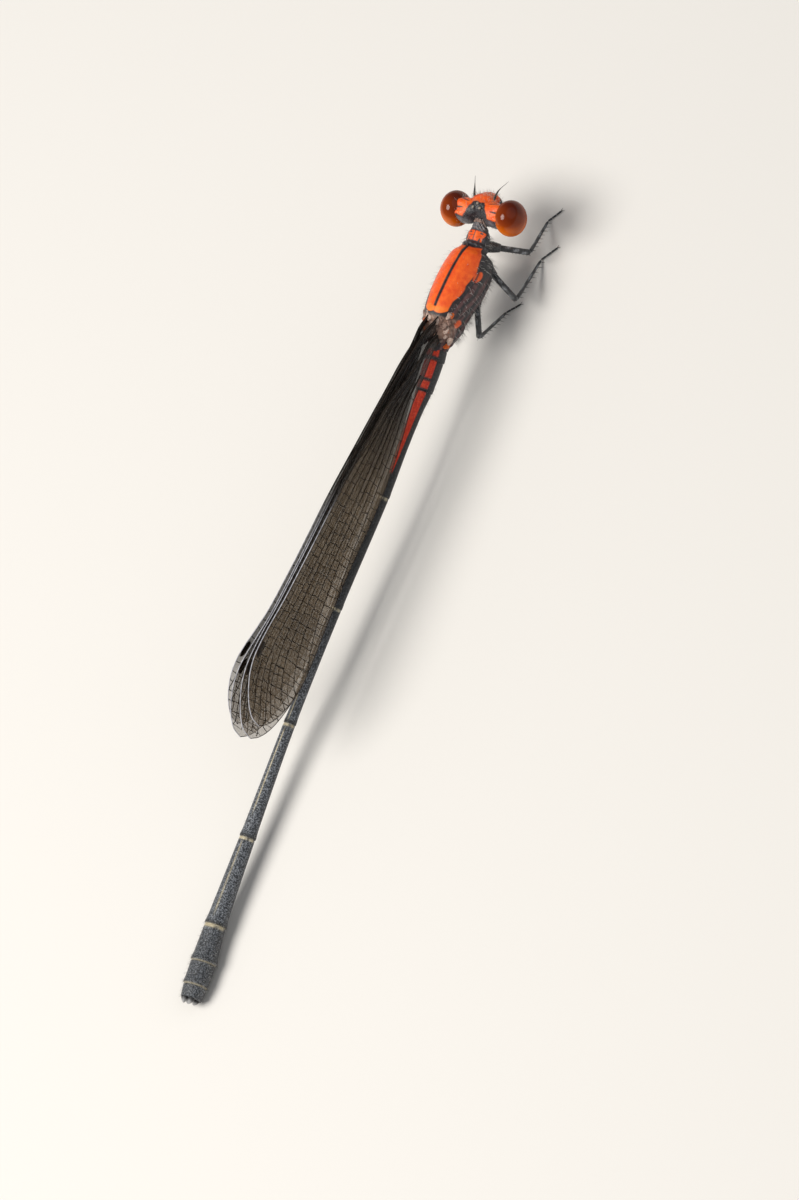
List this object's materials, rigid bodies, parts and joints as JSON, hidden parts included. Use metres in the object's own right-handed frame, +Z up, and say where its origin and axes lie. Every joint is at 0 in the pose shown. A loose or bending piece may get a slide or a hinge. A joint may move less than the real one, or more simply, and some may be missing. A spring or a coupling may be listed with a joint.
{
  "type": "damselfly",
  "caption": "Life-size still model of a slender red and black threadtail damselfly at rest, wings closed over its back.",
  "frame": {"origin": "middle of the bounding box at floor level, under the feet and tail tip", "axes": "+Y along the body from head to tail, +Z up, +X to the animal's left"},
  "size_m": [0.0052, 0.0416, 0.0072],
  "materials": {
    "head_shell": "orange-red and black cuticle, softly glossy",
    "eye_shell": "clear glossy lens surface over deep red-brown",
    "feeler_shell": "black cuticle",
    "thorax_shell": "orange-red and black cuticle with fine pale hair",
    "abdomen_shell": "black cuticle with a blue-grey bloom",
    "leg_shell": "black cuticle with a grey bloom",
    "wing_membrane": "smoky clear membrane with dark veins"
  },
  "bodies": {
    "root": {"head": "head_shell", "eye_left": "eye_shell", "eye_right": "eye_shell", "antenna_left": "feeler_shell", "antenna_right": "feeler_shell", "prothorax": "thorax_shell", "thorax": "thorax_shell", "abdomen_1_2": "abdomen_shell", "abdomen_3": "abdomen_shell", "abdomen_4": "abdomen_shell", "abdomen_5": "abdomen_shell", "abdomen_6": "abdomen_shell", "abdomen_7": "abdomen_shell", "abdomen_8_10": "abdomen_shell", "wing_fore_left": "wing_membrane", "wing_fore_right": "wing_membrane", "wing_hind_left": "wing_membrane", "wing_hind_right": "wing_membrane", "leg_fore_left": "leg_shell", "leg_fore_right": "leg_shell", "leg_mid_left": "leg_shell", "leg_mid_right": "leg_shell", "leg_hind_left": "leg_shell", "leg_hind_right": "leg_shell"}
  },
  "joints": []
}
